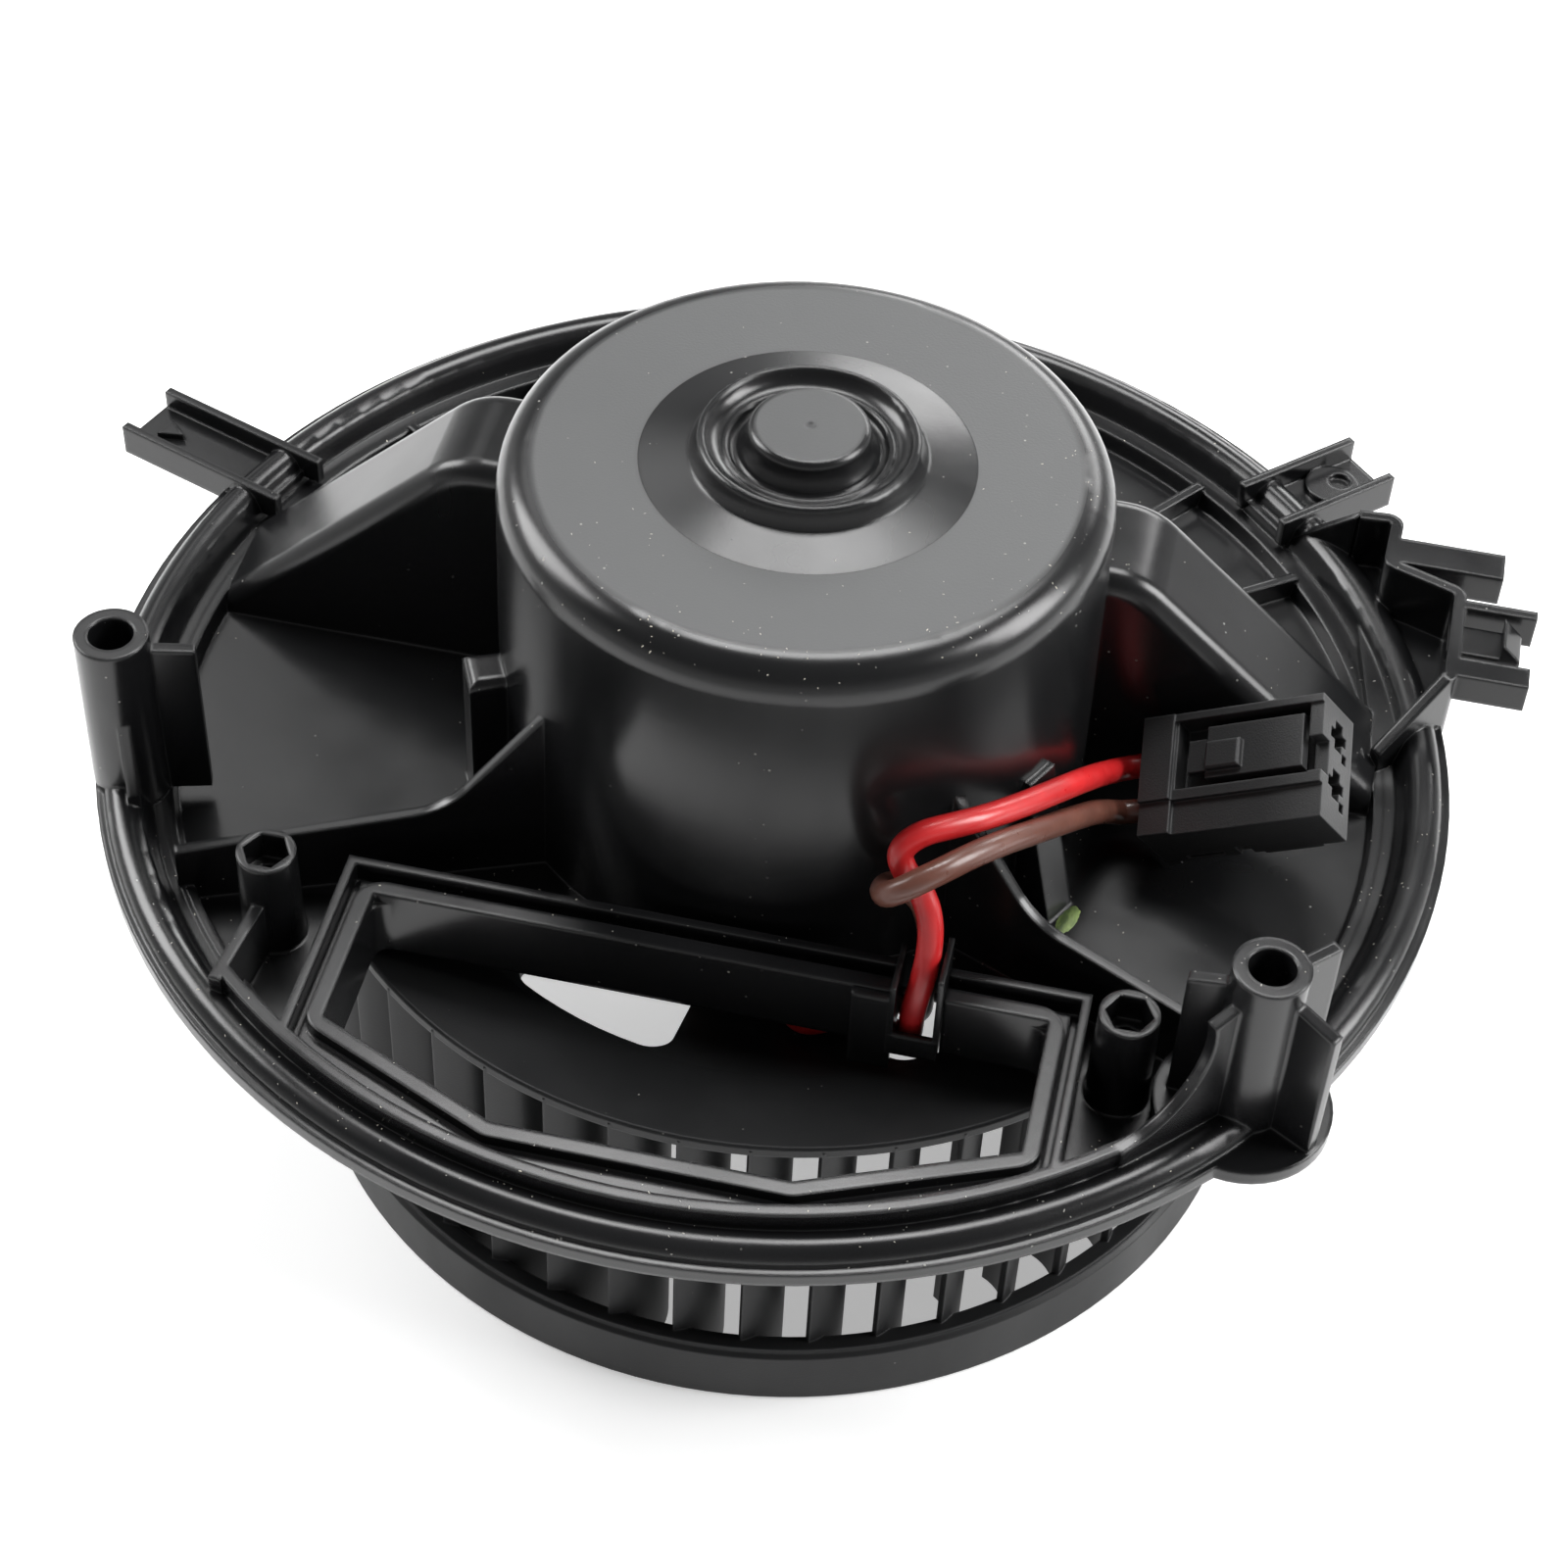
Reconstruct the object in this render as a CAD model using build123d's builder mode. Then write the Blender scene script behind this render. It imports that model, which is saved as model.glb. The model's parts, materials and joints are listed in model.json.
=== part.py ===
"""Car heater blower: motor carrier with flange, motor, squirrel-cage wheel, leads and plug.

Millimetres. +Z runs along the motor axis towards the closed dome. The origin is the centre of
the flange's round register, in the plane of the lip's underside.
"""
from build123d import *
import os
from math import cos, radians, sin, tan

os.makedirs("parts", exist_ok=True)

# ---------------------------------------------------------------- driving dimensions
wall = 2.2                 # general wall of the mouldings

lip_radius = 100.0         # flange lip
lip_height = 2.2
register_radius = 90.6     # cylinder that enters the blower housing
register_depth = 7.5
floor_top = -2.5           # flange floor between the dome and the rim
floor_bottom = floor_top - wall

motor_x = 2.6              # the motor axis stands this far from the register's centre
dome_radius = 43.0
dome_top = 53.8
cone_foot = 23.5           # where the dome's flat top starts to rise towards the ring
button_top = dome_top + 6.1
dome_bore = dome_radius - wall

pillar_top = 22.0
bracket_height = 12.0
pillar_left_width = 7.0
pillar_left_reach = 5.6
pillar_right_width = 5.6

duct_top = 35.0            # the two cooling-air ducts beside the dome
duct_front = 6.5
duct_back = 26.0
duct_knee = 51.0           # where the duct's top starts to slope down
duct_end = 88.4

frame_x = 1.2              # centre of the regulator window
frame_half = 52.8
frame_back = -45.6
frame_top = 7.0
window_half = 47.6
window_back = -51.3
window_side = -74.0
window_front = -85.8
window_front_half = 20.2
wall_arc_radius = 94.0     # outer wall of the raised front part

boss_top = 30.0
boss_radius = 5.2
boss_bore = 3.2
post_top = 14.0
post_radius = 4.1
hex_flats = 5.8

wheel_radius = 72.8        # over the blades
ring_radius = 75.15        # inlet ring
wheel_top = -6.4
wheel_bottom = -64.1
ring_height = 11.6
blade_count = 46
blade_inner = 61.5
window_count = 6           # windows in the wheel's bowl

can_radius = 36.4
can_wall = 1.6
can_bottom = -7.4
can_top = 45.6
clip_x = 30.7              # middle of the notch that the leads pass through
shaft_radius = 4.0
running_gap = 0.03         # radial play of the shaft in its bearings

lead_diameter = 3.6
plug_length = 28.0
plug_width = 18.5
plug_height = 10.6

# ring under the flange that holds the motor up, with its three screws
ring_thick = 1.2
ring_bottom = floor_bottom - ring_thick - 0.05
screw_hole = 1.3
pilot_depth = wall - 0.5
screw_spots = [
    ((dome_radius + 3.0) * cos(radians(angle)), (dome_radius + 3.0) * sin(radians(angle)))
    for angle in (75.0, 195.0, 315.0)
]

motor_axis = Axis((motor_x, 0, 0), (0, 0, 1))


def axial_plane(azimuth=0.0):
    """Upright plane through the motor axis: local x is the radius, local y is the height."""
    turned = Plane.XZ.rotated((0, 0, azimuth))
    return Plane(origin=(motor_x, 0, 0), x_dir=turned.x_dir, z_dir=turned.z_dir)


def upright_plane(start, end):
    """Upright plane through two plan points: local x runs from start to end, local y is up."""
    along = Vector(end[0] - start[0], end[1] - start[1], 0).normalized()
    return Plane(origin=(start[0], start[1], 0), x_dir=along, z_dir=along.cross(Vector(0, 0, 1)))


def motor_plane(height=0.0):
    """Level plane with its origin on the motor axis."""
    return Plane(origin=(motor_x, 0, height))


def save(part, name):
    """Label one finished piece and write it as a STEP file of that name."""
    part.label = name
    export_step(part, f"parts/{name}.step")


# ---------------------------------------------------------------- flange housing
window_outline = [
    (frame_x - window_half, window_back),
    (frame_x + window_half, window_back),
    (frame_x + window_half, window_side),
    (frame_x + window_front_half - 0.8, window_front),
    (frame_x - window_front_half - 0.8, window_front),
    (frame_x - window_half, window_side),
]
band_top = 4.8             # flat band between the frame's thin wall and the window's rim
frame_skin = 1.3
rim_band = 2.4
corner_round = 4.0


def duct_solid(side, inset):
    """One air duct as a solid wedge; inset shrinks it to the air space inside."""
    side_plane = Plane(origin=(0, duct_front + inset, 0), x_dir=(side, 0, 0), z_dir=(0, -side, 0))
    depth = duct_back - duct_front - 2 * inset
    top = duct_top - inset
    with BuildPart() as duct:
        with BuildSketch(side_plane):
            with BuildLine():
                Polyline(
                    (30, floor_bottom),
                    (30, top),
                    (duct_knee - side * motor_x * 0.3, top),
                    (duct_end - inset, 1.0 - inset * 0.6),
                    (duct_end - inset, floor_bottom),
                    close=True,
                )
            make_face()
        extrude(amount=-side * depth)
        knee = duct.edges().filter_by(Axis.Y).sort_by(Axis.Z)[-2:]
        outer_knee = knee.sort_by(lambda edge: abs(edge.center().X))[-1]
        fillet(outer_knee, 12.0)
        top_edges = duct.edges().filter_by(
            lambda edge: edge.center().Z > 2.0
            and abs(edge.tangent_at(0.5).Y) < 0.1
            and abs(edge.tangent_at(0.5).Z) < 0.95
        )
        fillet(top_edges, 3.2 - inset)
    return duct.part


duct_shells = [duct_solid(side, 0.0) for side in (1, -1)]
duct_spaces = [duct_solid(side, 2.0) for side in (1, -1)]

with BuildPart() as pillar_left:
    with BuildSketch(axial_plane(-155.0)):
        with Locations((dome_radius - 1.5 + pillar_left_reach / 2, (pillar_top + floor_top) / 2)):
            Rectangle(pillar_left_reach + 3.0, pillar_top - floor_top)
    extrude(amount=pillar_left_width / 2, both=True)
    fillet(pillar_left.faces().sort_by(Axis.Z)[-1].edges(), 1.6)

# flared towards its foot, and clear of the leads that pass beside it
with BuildPart() as pillar_right:
    with BuildSketch(axial_plane(-28.0)):
        with BuildLine():
            Polyline(
                (dome_radius - 1.5, floor_top), (50.2, floor_top), (45.7, 14.0), (44.2, pillar_top),
                (dome_radius - 1.5, pillar_top),
                close=True,
            )
        make_face()
    extrude(amount=pillar_right_width / 2, both=True)

with BuildPart() as flange_housing:
    # flange floor, inner band, rounded rim and lip, turned about the register's axis
    with BuildSketch(Plane.XZ):
        with BuildLine():
            Polyline((0, floor_top), (88.6, floor_top), (89.2, 0.2), (92.4, 0.2), (93.4, 2.6))
            ThreePointArc((93.4, 2.6), (96.4, 4.5), (98.7, 3.0))
            Polyline(
                (98.7, 3.0),
                (98.8, lip_height),
                (lip_radius, lip_height),
                (lip_radius, 0),
                (register_radius, 0),
                (register_radius, -register_depth),
                (register_radius - wall, -register_depth),
                (register_radius - wall, floor_bottom),
                (0, floor_bottom),
                (0, floor_top),
            )
        make_face()
    revolve(axis=Axis.Z)
    # a second low bead on the rim
    with BuildSketch(Plane.XZ):
        with Locations((94.6, 3.0)):
            Circle(0.9)
    revolve(axis=Axis.Z)

    # dome, with the shallow cone, the raised ring and the centre button
    with BuildSketch(axial_plane()):
        with BuildLine():
            Line((0, floor_bottom), (dome_radius + 0.6, floor_bottom))
            Line((dome_radius + 0.6, floor_bottom), (dome_radius, dome_top - 5.2))
            ThreePointArc(
                (dome_radius, dome_top - 5.2),
                (dome_radius - 1.5, dome_top - 1.5),
                (dome_radius - 5.2, dome_top),
            )
            Polyline((dome_radius - 5.2, dome_top), (cone_foot, dome_top), (16.6, dome_top + 1.2))
            ThreePointArc((16.6, dome_top + 1.2), (15.9, dome_top + 2.4), (15.5, dome_top + 3.7))
            ThreePointArc((15.5, dome_top + 3.7), (14.9, dome_top + 4.3), (14.2, dome_top + 3.8))
            ThreePointArc((14.2, dome_top + 3.8), (13.4, dome_top + 2.8), (12.1, dome_top + 2.3))
            ThreePointArc((12.1, dome_top + 2.3), (11.5, dome_top + 2.7), (11.0, dome_top + 2.2))
            ThreePointArc((11.0, dome_top + 2.2), (10.4, dome_top + 1.5), (9.6, dome_top + 2.2))
            ThreePointArc((9.6, dome_top + 2.2), (8.8, dome_top + 3.4), (8.5, dome_top + 4.8))
            ThreePointArc((8.5, dome_top + 4.8), (8.2, dome_top + 5.8), (7.3, button_top))
            Polyline((7.3, button_top), (0.7, button_top), (0.5, button_top - 0.3), (0, button_top - 0.3))
            Line((0, button_top - 0.3), (0, floor_bottom))
        make_face()
    revolve(axis=motor_axis)

    for shell in duct_shells:
        add(shell)

    # pillars on the dome's wall, a boxy one at the left and a flared one at the right
    for pillar in (pillar_left, pillar_right):
        add(pillar.part)

    # gusset ribs from the dome to the rim, either side of the window
    for foot, top in (((-75.6, -50.7), (-27.0, -31.0)), ((76.5, -50.6), (31.3, -32.0))):
        rib_plane = upright_plane(top, foot)
        length = (Vector(*foot) - Vector(*top)).length
        with BuildSketch(rib_plane):
            with BuildLine():
                Line((-2, floor_top), (-2, 28.5))
                Line((-2, 28.5), (0, 27.0))
                Line((0, 27.0), (11.5, 13.5))
                ThreePointArc((11.5, 13.5), (15.5, 10.7), (20.0, 9.8))
                Polyline((20.0, 9.8), (length, 7.2), (length, floor_top), (-2, floor_top))
            make_face()
        extrude(amount=0.8, both=True)

    # short radial ribs behind the ducts
    for azimuth in (52.0, 36.0, 128.0, 144.0):
        with Locations(Location((0, 0, 0), (0, 0, azimuth))):
            with Locations((82.5, 0, floor_top + 1.4)):
                Box(14.5, 1.6, 4.2)

    # raised front part: thin outer wall, flat band and window rim
    for outside, bottom in ((register_radius, floor_bottom), (wall_arc_radius, 0.0)):
        with BuildSketch(Plane.XY.offset(bottom)):
            Circle(outside)
            with Locations((frame_x, frame_back - 60)):
                Rectangle(2 * frame_half, 120, mode=Mode.INTERSECT)
        extrude(amount=band_top - bottom)
    with BuildSketch(Plane.XY.offset(band_top)):
        Circle(wall_arc_radius)
        with Locations((frame_x, frame_back - 60)):
            Rectangle(2 * frame_half, 120, mode=Mode.INTERSECT)
        offset(amount=-frame_skin, kind=Kind.INTERSECTION, mode=Mode.SUBTRACT)
    extrude(amount=frame_top - band_top)
    # wall along the rim, on both sides of the window, as far as the post and the boss
    with BuildSketch(Plane.XY):
        Circle(wall_arc_radius)
        Circle(wall_arc_radius - 1.8, mode=Mode.SUBTRACT)
        with BuildLine():
            Polyline((0, 0), (-63.4, -71.0), (-80, -150), (100, -150), (84.0, -60.5), close=True)
        make_face(mode=Mode.INTERSECT)
    extrude(amount=frame_top)
    with BuildSketch(upright_plane((-62.4, -70.6), (-60.6, -54.5))):
        with Locations((8.5, (frame_top + floor_top) / 2)):
            Rectangle(19.0, frame_top - floor_top)
    extrude(amount=0.9, both=True)

    # screw bosses with their fins
    for x, y in ((-88.5, -33.7), (76.3, -55.1)):
        with BuildSketch(Plane((x, y, 0))):
            Circle(boss_radius + 0.3)
        extrude(amount=boss_top, taper=0.5)
    with BuildSketch(Plane((76.3, -55.1, 0))):
        Circle(12.2)
    extrude(amount=lip_height)
    fins = (
        ((-88.5, -33.7), (-77.6, -30.6), 27.5, 27.0),
        ((-88.5, -33.7), (-85.0, -41.5), 25.0, 6.0),
        ((76.3, -55.1), (66.0, -54.2), 26.0, 24.5),
        ((76.3, -55.1), (84.5, -46.5), 27.5, 27.0),
        ((76.3, -55.1), (86.2, -61.0), 27.0, 25.0),
    )
    for start, end, near_top, far_top in fins:
        length = (Vector(*end) - Vector(*start)).length
        with BuildSketch(upright_plane(start, end)):
            with BuildLine():
                Polyline((3, 0), (3, near_top), (length, far_top), (length, 0), close=True)
            make_face()
        extrude(amount=0.9, both=True)
    # wall that sweeps up from the window's wall to the right boss
    with BuildSketch(upright_plane((61.0, -70.9), (76.3, -55.1))):
        with BuildLine():
            Line((0, floor_top), (0, frame_top))
            ThreePointArc((0, frame_top), (9.5, 11.0), (13.0, 24.0))
            Polyline((13.0, 24.0), (19.0, 26.0), (19.0, floor_top), (0, floor_top))
        make_face()
    extrude(amount=0.9, both=True)

    # hex posts for the regulator's screws
    for x in (-60.6, 59.4):
        with BuildSketch(Plane((x, -53.6, floor_top))):
            Circle(post_radius + 0.4)
        extrude(amount=post_top - floor_top, taper=1.2)

    # tongue at the left: a channel with side walls and a small wedge
    with Locations(Location((0, 0, 0), (0, 0, 160))):
        with Locations((106.5, 0, 1.1)):
            Box(28, 12.0, 2.2)
        with Locations((105.0, 5.3, 3.1), (105.0, -5.3, 3.1)):
            Box(31.0, 1.4, 4.2)
    wedge_plane = Plane(origin=(0, 0, 2.2)).rotated((0, 0, 160))
    with BuildSketch(wedge_plane):
        with BuildLine():
            Polyline((116.5, -1.6), (116.5, 2.4), (112.6, 0.4), close=True)
        make_face()
    extrude(amount=1.2)

    # tongue at the right rear: a channel with a round pad
    with Locations(Location((0, 0, 0), (0, 0, 44))):
        with Locations((102.5, 0, 1.1)):
            Box(21.5, 11.6, 2.2)
        with Locations((102.0, 5.1, 3.4), (102.0, -5.1, 3.4)):
            Box(22.5, 1.4, 4.8)
        with Locations((105.6, 0, 2.6)):
            Cylinder(4.4, 1.6)
        with Locations((107.0, 0, 3.2)):
            Cylinder(1.7, 1.2, mode=Mode.SUBTRACT)

    # harness bracket at the right: stepped wall, base and three prongs
    with BuildSketch(Plane.XY.offset(0)):
        with BuildLine():
            FilletPolyline(
                (80.5, 57.0), (86.5, 57.5), (86.0, 47.0), (97.2, 43.0), (97.0, 24.5), (88.0, 14.0),
                radius=1.6,
            )
        trace(line_width=1.9)
    extrude(amount=bracket_height)
    # its rear end runs down to the rim, and its front end slopes almost to the lip
    with BuildSketch(Plane((71.5, 61.0, 0), x_dir=(9.0, -4.0, 0), z_dir=(-4.0, -9.0, 0))):
        with BuildLine():
            Polyline((0, 0), (9.8, 0), (9.8, bracket_height), (0, lip_height), close=True)
        make_face()
    extrude(amount=0.95, both=True)
    with BuildSketch(Plane((97.0, 24.5, 0), x_dir=(-9.0, -10.5, 0), z_dir=(-10.5, 9.0, 0))):
        with BuildLine():
            Polyline(
                (1.0, bracket_height + 0.1), (15.4, bracket_height + 0.1), (15.4, 2.6),
                close=True,
            )
        make_face()
    extrude(amount=2.0, both=True, mode=Mode.SUBTRACT)
    with BuildSketch(Plane.XY.offset(0)):
        with BuildLine():
            Polyline(
                (80.5, 57.0), (86.5, 57.5), (86.0, 47.0), (97.2, 43.0), (97.0, 24.5), (88.0, 14.0),
                close=True,
            )
        make_face()
    extrude(amount=lip_height)
    prongs = (
        ((94.6, 50.2), (17.5, 5.6), 9.4, 5.2),
        ((102.6, 40.4), (12.6, 1.8), 9.2, 5.6),
        ((102.2, 26.4), (12.4, 4.2), 9.6, 4.8),
    )
    for (x, y), (length, width), height, thick in prongs:
        with Locations((x, y, height)):
            Box(length, width, thick)
    # snap nose on a thin tongue between the outer prongs
    with Locations((101.5, 34.2, 9.4)):
        Box(11.0, 6.0, 1.8)
    with BuildSketch(Plane(origin=(0, 37.2, 0), x_dir=(1, 0, 0), z_dir=(0, -1, 0))):
        with BuildLine():
            Polyline((104.0, 10.3), (104.0, 13.2), (107.0, 10.3), close=True)
        make_face()
    extrude(amount=6.0)

    # ---- cuts
    # clear seat under the lip, round the register
    with BuildSketch(Plane.XY):
        Circle(lip_radius + 30)
        Circle(register_radius, mode=Mode.SUBTRACT)
    extrude(amount=-register_depth - 1, mode=Mode.SUBTRACT)
    # motor bore, and the space under the button
    with BuildSketch(axial_plane()):
        with BuildLine():
            Polyline(
                (0, floor_bottom - 1),
                (dome_bore, floor_bottom - 1),
                (dome_bore, dome_top - 5.0),
                (dome_bore - 3.0, dome_top - wall),
                (19.0, dome_top - wall),
                (16.0, dome_top - wall - 0.6),
                (9.6, dome_top - wall - 0.4),
                (7.2, dome_top + 2.8),
                (0, dome_top + 2.8),
                close=True,
            )
        make_face()
    revolve(axis=motor_axis, mode=Mode.SUBTRACT)
    for space in duct_spaces:
        add(space, mode=Mode.SUBTRACT)
    # underside relief of the raised front part
    with BuildSketch(Plane.XY.offset(floor_bottom - 0.1)):
        Circle(register_radius - wall)
        with Locations((frame_x, frame_back - 60)):
            Rectangle(2 * frame_half - 2 * wall, 120, mode=Mode.INTERSECT)
        with BuildLine():
            Polyline(window_outline, close=True)
            offset(amount=wall, kind=Kind.INTERSECTION)
        make_face(mode=Mode.SUBTRACT)
        with Locations((0, frame_back)):
            Rectangle(200, 2 * wall, mode=Mode.SUBTRACT)
    extrude(amount=band_top - wall - floor_bottom + 0.1, mode=Mode.SUBTRACT)
    # gasket groove beside the thin wall
    with BuildSketch(Plane.XY.offset(band_top)):
        Circle(wall_arc_radius)
        with Locations((frame_x, frame_back - 60)):
            Rectangle(2 * frame_half, 120, mode=Mode.INTERSECT)
        offset(amount=-frame_skin, kind=Kind.INTERSECTION, mode=Mode.REPLACE)
        offset(amount=-1.1, kind=Kind.INTERSECTION, mode=Mode.SUBTRACT)
    extrude(amount=-1.2, mode=Mode.SUBTRACT)
    # window opening
    with BuildSketch(Plane.XY.offset(floor_bottom - 5)):
        with BuildLine():
            Polyline(window_outline, close=True)
        make_face()
        fillet(vertices(), 2.4)
    extrude(amount=30, mode=Mode.SUBTRACT)
    # raised, rounded rim round the window
    with BuildSketch(Plane.XY.offset(band_top - 0.6)):
        with BuildLine():
            Polyline(window_outline, close=True)
            offset(amount=rim_band, kind=Kind.INTERSECTION)
        make_face()
        fillet(vertices(), corner_round)
        with BuildLine():
            Polyline(window_outline, close=True)
        make_face(mode=Mode.SUBTRACT)
    extrude(amount=frame_top - 0.4 - band_top + 0.6)
    # notch for the leads
    with Locations((clip_x, -47.85, 4.0)):
        Box(7.4, 10.9, 20.0, mode=Mode.SUBTRACT)
    # bosses, post pockets and pilot holes
    for x, y in ((-88.5, -33.7), (76.3, -55.1)):
        with BuildSketch(Plane((x, y, 0))):
            Circle(boss_bore)
        extrude(amount=boss_top + 1, mode=Mode.SUBTRACT)
    for x in (-60.6, 59.4):
        with BuildSketch(Plane((x, -53.6, post_top))):
            RegularPolygon(hex_flats / 2, 6, major_radius=False)
        extrude(amount=-4.5, mode=Mode.SUBTRACT)
        with BuildSketch(Plane((x, -53.6, post_top))):
            Circle(1.5)
        extrude(amount=-13.0, mode=Mode.SUBTRACT)
    # pilot holes of the retainer's screws
    with BuildSketch(motor_plane(floor_bottom)):
        with Locations(screw_spots):
            Circle(screw_hole)
    extrude(amount=pilot_depth, mode=Mode.SUBTRACT)
save(flange_housing.part, "flange_housing")


# ---------------------------------------------------------------- clip for the leads
cheek = 0.8                # thickness of the clip's walls
clip_half = 3.6
with BuildPart() as lead_clip:
    # two cheeks in the notch, joined by a bridge across their front
    for side, bottom, top in ((-1, -2.0, 9.0), (1, -4.4, 12.0)):
        with Locations((clip_x + side * (clip_half - cheek / 2), -48.8, (top + bottom) / 2)):
            Box(cheek, 8.6, top - bottom)
    with Locations((clip_x, -52.7, -2.4)):
        Box(2 * clip_half, 0.9, 4.0)
    # tongue that hangs to the left of the notch, below the frame's edge
    with Locations((clip_x - clip_half - 2.4, -52.1, -1.0)):
        Box(6.0, 1.3, 14.6)
    fillet(lead_clip.edges().filter_by(Axis.Z).sort_by(Axis.X)[:2], 0.5)
save(lead_clip.part, "lead_clip")


# ---------------------------------------------------------------- motor
with BuildPart() as motor_can:
    with BuildSketch(axial_plane()):
        with BuildLine():
            Polyline(
                (can_radius, can_bottom),
                (can_radius, can_top - 4.0),
                (can_radius - 4.0, can_top),
                (10.5, can_top),
                (9.6, can_top + 4.8),
                (4.8, can_top + 4.8),
                (4.8, can_top + 3.4),
                (8.1, can_top + 3.4),
                (8.1, can_top - can_wall),
                (can_radius - 4.6, can_top - can_wall),
                (can_radius - can_wall, can_top - 4.6),
                (can_radius - can_wall, can_bottom),
                close=True,
            )
        make_face()
    revolve(axis=motor_axis)
    # cooling slots in the can's end
    with BuildSketch(motor_plane(can_top - 3)):
        with PolarLocations(22.0, 6):
            SlotCenterToCenter(8.0, 5.0, rotation=90)
    extrude(amount=6, mode=Mode.SUBTRACT)
save(motor_can.part, "motor_can")

plate_bottom = can_bottom - 2.4
with BuildPart() as motor_end_plate:
    with BuildSketch(motor_plane(plate_bottom)):
        Circle(can_radius)
    extrude(amount=2.4)
    with BuildSketch(motor_plane(plate_bottom - 3.4)):
        Circle(11.0)
    extrude(amount=3.4)
    # outlet blocks of the two leads
    with BuildSketch(motor_plane(plate_bottom - 4.0)):
        with Locations((-4.6, -32.2), (8.4, -32.2)):
            Rectangle(6.0, 8.0)
    extrude(amount=4.0)
    with BuildSketch(motor_plane(can_bottom - 4)):
        with PolarLocations(22.0, 4, start_angle=45):
            SlotCenterToCenter(10.0, 4.0, rotation=90)
    extrude(amount=6, mode=Mode.SUBTRACT)
    with BuildSketch(motor_plane(plate_bottom - 3.4)):
        Circle(8.1)
    extrude(amount=5.8, mode=Mode.SUBTRACT)
save(motor_end_plate.part, "motor_end_plate")


def bearing(bottom, height):
    """Sintered bush with a barrel-shaped outside."""
    with BuildPart() as bush:
        with BuildSketch(axial_plane()):
            with BuildLine():
                Line((shaft_radius + running_gap, bottom), (6.6, bottom))
                ThreePointArc((6.6, bottom), (8.0, bottom + height / 2), (6.6, bottom + height))
                Polyline(
                    (6.6, bottom + height),
                    (shaft_radius + running_gap, bottom + height),
                    (shaft_radius + running_gap, bottom),
                )
            make_face()
        revolve(axis=motor_axis)
    return bush.part


upper_bearing_bottom = can_top - 3.6
lower_bearing_bottom = plate_bottom - 3.2
bearing_height = 6.0
save(bearing(upper_bearing_bottom, bearing_height), "bearing_upper")
save(bearing(lower_bearing_bottom, bearing_height), "bearing_lower")


def bearing_cap(height, direction):
    """Spring-steel cap that presses a bearing into its seat."""
    with BuildPart() as cap:
        with BuildSketch(motor_plane(height)):
            Circle(12.0)
            Circle(8.05, mode=Mode.SUBTRACT)
            with PolarLocations(10.6, 8):
                Circle(1.0, mode=Mode.SUBTRACT)
        extrude(amount=direction * 0.6)
    return cap.part


save(bearing_cap(can_top - can_wall, -1), "bearing_cap_upper")
save(bearing_cap(can_bottom, 1), "bearing_cap_lower")

magnet_bottom = 5.0
magnet_height = 32.0
with BuildPart() as magnets:
    with BuildSketch(motor_plane(magnet_bottom)):
        for middle in (0.0, 180.0):
            with BuildLine():
                CenterArc((0, 0), can_radius - can_wall, middle - 62, 124)
                CenterArc((0, 0), 27.4, middle - 62, 124)
                for end in (middle - 62, middle + 62):
                    Line(
                        (27.4 * cos(radians(end)), 27.4 * sin(radians(end))),
                        (
                            (can_radius - can_wall) * cos(radians(end)),
                            (can_radius - can_wall) * sin(radians(end)),
                        ),
                    )
            make_face()
    extrude(amount=magnet_height)
save(magnets.part, "magnets")

with BuildPart() as magnet_springs:
    with BuildSketch(motor_plane(magnet_bottom + 4)):
        for middle in (90.0, 270.0):
            with BuildLine():
                CenterArc((0, 0), can_radius - can_wall - 0.2, middle - 27, 54)
                CenterArc((0, 0), can_radius - can_wall - 1.2, middle - 27, 54)
                for end in (middle - 27, middle + 27):
                    inner = can_radius - can_wall - 1.2
                    Line(
                        (inner * cos(radians(end)), inner * sin(radians(end))),
                        (
                            (inner + 1.0) * cos(radians(end)),
                            (inner + 1.0) * sin(radians(end)),
                        ),
                    )
            make_face()
    extrude(amount=24)
save(magnet_springs.part, "magnet_springs")

# brush gear on the inside of the end plate
commutator_radius = 11.0
brush_gap = 0.3            # between a brush's face and the commutator
brush_height = can_bottom + 5.6   # middle of the brushes
with BuildPart() as brush_holders:
    for side in (1, -1):
        with BuildSketch(motor_plane(can_bottom)):
            with Locations((side * 21.0, 0)):
                Rectangle(13.0, 10.0)
        extrude(amount=10.0)
        with BuildSketch(motor_plane(can_bottom + 1.4)):
            with Locations((side * 21.0, 0)):
                Rectangle(14.0, 7.2)
        extrude(amount=8.2, mode=Mode.SUBTRACT)
save(brush_holders.part, "brush_holders")


def carbon_brush(side):
    """Carbon block with a face hollowed to the commutator's radius."""
    with BuildPart() as brush:
        with BuildSketch(motor_plane(can_bottom + 1.6)):
            with Locations((side * 16.4, 0)):
                Rectangle(12.6, 6.8)
            Circle(commutator_radius + brush_gap, mode=Mode.SUBTRACT)
        extrude(amount=7.8)
    return brush.part


save(carbon_brush(1), "brush_red")
save(carbon_brush(-1), "brush_brown")

with BuildPart() as brush_springs:
    for side in (1, -1):
        spring_plane = Plane(
            origin=(motor_x + side * 22.9, 0, brush_height), x_dir=(0, 1, 0), z_dir=(side, 0, 0)
        )
        with BuildSketch(spring_plane):
            Circle(2.6)
            Circle(1.9, mode=Mode.SUBTRACT)
        extrude(amount=4.2)
save(brush_springs.part, "brush_springs")

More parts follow.
